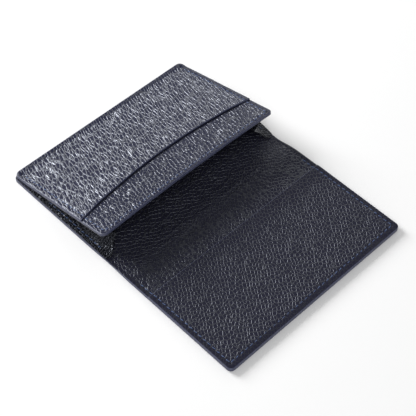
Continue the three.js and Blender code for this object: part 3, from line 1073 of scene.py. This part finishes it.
class CARDHOLDER_OT_stitching(bpy.types.Operator):
    """Every seam, stitch by stitch, on both faces of the leather"""

    bl_idname = "card_holder.stitching"
    bl_label = "Stitching"

    def execute(self, context):
        s = sizes()
        seam = Seam()

        def underside(x, y):
            return 0 * x + 0.14 * MM

        def flap_top(x, y):
            step = smooth(y, FLAP_MOUTH_Y - 0.4 * MM, FLAP_MOUTH_Y + 0.9 * MM)
            return PATCH_Z[1] + (LINING_Z[1] - PATCH_Z[1]) * step - THREAD_SUNK - 0.05 * MM

        runs = beside(seam.flap_x, seam.flap_end, -s.flap_seam_start, seam.flap_along)
        runs += across(seam.flap_x, seam.flap_end, seam.flap_across)
        rows = lay_rows(runs, flap_top) + lay_rows(runs, underside)
        flap = join_rows("flap_stitches", rows, settle)
        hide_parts("flap_seam")
        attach(flap, "flap")

        def front_top(x, run):
            on_slip = smooth(run, slip_edge(x) - 0.4 * MM, slip_edge(x) + 0.4 * MM)
            return FRONT_W + (SLIP_W[1] - FRONT_W) * on_slip - THREAD_SUNK - 0.05 * MM

        def front_under(x, run):
            return 0 * x + 0.08 * MM

        pitch = (seam.front_end - seam.front_mouth) / seam.front_along
        last = seam.front_end - pitch
        runs = beside(seam.front_x, seam.front_mouth, last, seam.front_along - 1)
        runs += across(seam.front_x, seam.front_mouth, seam.front_across)
        rows = lay_rows(runs, front_top) + lay_rows(runs, front_under)
        front = join_rows("pocket_stitches", rows, raise_front)
        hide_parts("pocket_seam")
        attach(front, "pocket")

        ends = beside(seam.front_x, last, seam.front_end, 1)
        ends += across(seam.front_x, seam.front_end, seam.front_across)
        above = lay_rows(ends, lambda x, run: front_top(x, run) - 0.08 * MM)
        for row in above:
            set_points(row, raise_front(points_of(row)))
        below = lay_rows(across(seam.front_x, seam.back_end, seam.front_across), underside)
        end = join_rows("end_stitches", above + below, lambda co: co)
        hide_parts("end_seam")
        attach(end, "back")

        for side, name in ((-1, "left_gusset"), (1, "right_gusset")):
            x = side * seam.flap_x
            run = ((x, GUSSET_FOOT[0]), (x, GUSSET_FOOT[1]), seam.gusset_along)
            top = PATCH_Z[1] - THREAD_SUNK
            rows = lay_rows([run], lambda x, y, top=top: top - 0.02 * MM + 0 * x)
            rows += lay_rows([run], underside)
            foot = join_rows(f"{name}_stitches", rows, settle)
            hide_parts(f"{name}_seam")
            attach(foot, "back")
        return {"FINISHED"}


# ---- stage ----
CAMERA_AT = (-232.4 * MM, -243.3 * MM, 426.4 * MM)
CAMERA_TARGET = (-0.1 * MM, -3.1 * MM, 0)
CAMERA_LENS = 99.84
SENSOR = 36


def soft_light(name, direction, distance, size, power):
    """A large square lamp that faces the holder."""
    data = bpy.data.lights.new(name, "AREA")
    data.shape = "SQUARE"
    data.size = size
    data.energy = power
    lamp = bpy.data.objects.new(name, data)
    away = Vector(direction).normalized()
    lamp.location = away * distance
    lamp.rotation_mode = "QUATERNION"
    lamp.rotation_quaternion = (-away).to_track_quat("-Z", "Y")
    bpy.context.scene.collection.objects.link(lamp)


class CARDHOLDER_OT_stage(bpy.types.Operator):
    """Pale paper, soft studio light and the camera"""

    bl_idname = "card_holder.stage"
    bl_label = "Stage"

    def execute(self, context):
        scene = context.scene
        bpy.ops.object.select_all(action="DESELECT")
        bpy.ops.mesh.primitive_plane_add(size=6, location=(0, 0, -0.05 * MM))
        floor = bpy.context.object
        floor.name = "paper"
        # uncoated paper: a faint tooth and no shine
        made, tree = new_material("seamless paper, white")
        place = add_node(tree, "TexCoord").outputs["Object"]
        tooth = add_node(tree, "TexNoise", {"Vector": place, "Scale": 0.5 / MM})
        white = colours().paper
        shades = {0: tooth, 6: rgba(white, 0.99), 7: rgba(white)}
        base = add_node(tree, "Mix", shades, **COLOUR_MIX).outputs[2]
        give_surface(made, {"Base Color": base, "Roughness": 1.0, "Specular IOR Level": 0.0})
        floor.data.materials.append(made)

        world = bpy.data.worlds.new("studio")
        world.use_nodes = True
        world.node_tree.nodes["Background"].inputs["Color"].default_value = (1, 1, 1, 1)
        world.node_tree.nodes["Background"].inputs["Strength"].default_value = 0.32
        scene.world = world
        scene.view_settings.view_transform = "Standard"
        soft_light("key", (-0.16, 0.88, 0.42), 1.2, 0.55, 19)
        soft_light("backdrop", (0.75, 0.6, 0.35), 1.6, 1.0, 4)
        soft_light("fill", (-0.4, -0.5, 0.75), 1.6, 1.4, 10)

        data = bpy.data.cameras.new("camera")
        data.lens = CAMERA_LENS
        data.sensor_width = SENSOR
        data.clip_start = 0.01
        camera = bpy.data.objects.new("camera", data)
        camera.location = CAMERA_AT
        look = Vector(CAMERA_TARGET) - Vector(CAMERA_AT)
        camera.rotation_mode = "QUATERNION"
        camera.rotation_quaternion = look.to_track_quat("-Z", "Y")
        scene.collection.objects.link(camera)
        scene.camera = camera
        return {"FINISHED"}


STEPS = (
    CARDHOLDER_OT_cover,
    CARDHOLDER_OT_lining,
    CARDHOLDER_OT_flap_pocket,
    CARDHOLDER_OT_pocket_front,
    CARDHOLDER_OT_slip_pocket,
    CARDHOLDER_OT_gussets,
    CARDHOLDER_OT_stiffeners,
    CARDHOLDER_OT_stitching,
    CARDHOLDER_OT_stage,
)


class CARDHOLDER_PT_panel(bpy.types.Panel):
    """The holder's pieces, in the order in which they are made"""

    bl_idname = "CARDHOLDER_PT_panel"
    bl_label = "Card holder"
    bl_space_type = "VIEW_3D"
    bl_region_type = "UI"
    bl_category = "Card Holder"

    def draw(self, context):
        for group in (context.scene.holder_sizes, context.scene.holder_colours):
            box = self.layout.box()
            for name in group.__annotations__:
                box.prop(group, name)
        for step in STEPS:
            self.layout.operator(step.bl_idname)


CLASSES = (HolderSizes, HolderColours, *STEPS, CARDHOLDER_PT_panel)


def register():
    for made in CLASSES:
        bpy.utils.register_class(made)
    bpy.types.Scene.holder_sizes = PointerProperty(type=HolderSizes)
    bpy.types.Scene.holder_colours = PointerProperty(type=HolderColours)


def unregister():
    del bpy.types.Scene.holder_colours
    del bpy.types.Scene.holder_sizes
    for made in reversed(CLASSES):
        bpy.utils.unregister_class(made)


def main():
    """Makes every piece in order."""
    register()
    for step in STEPS:
        group, name = step.bl_idname.split(".")
        getattr(getattr(bpy.ops, group), name)()


if __name__ == "__main__":
    main()
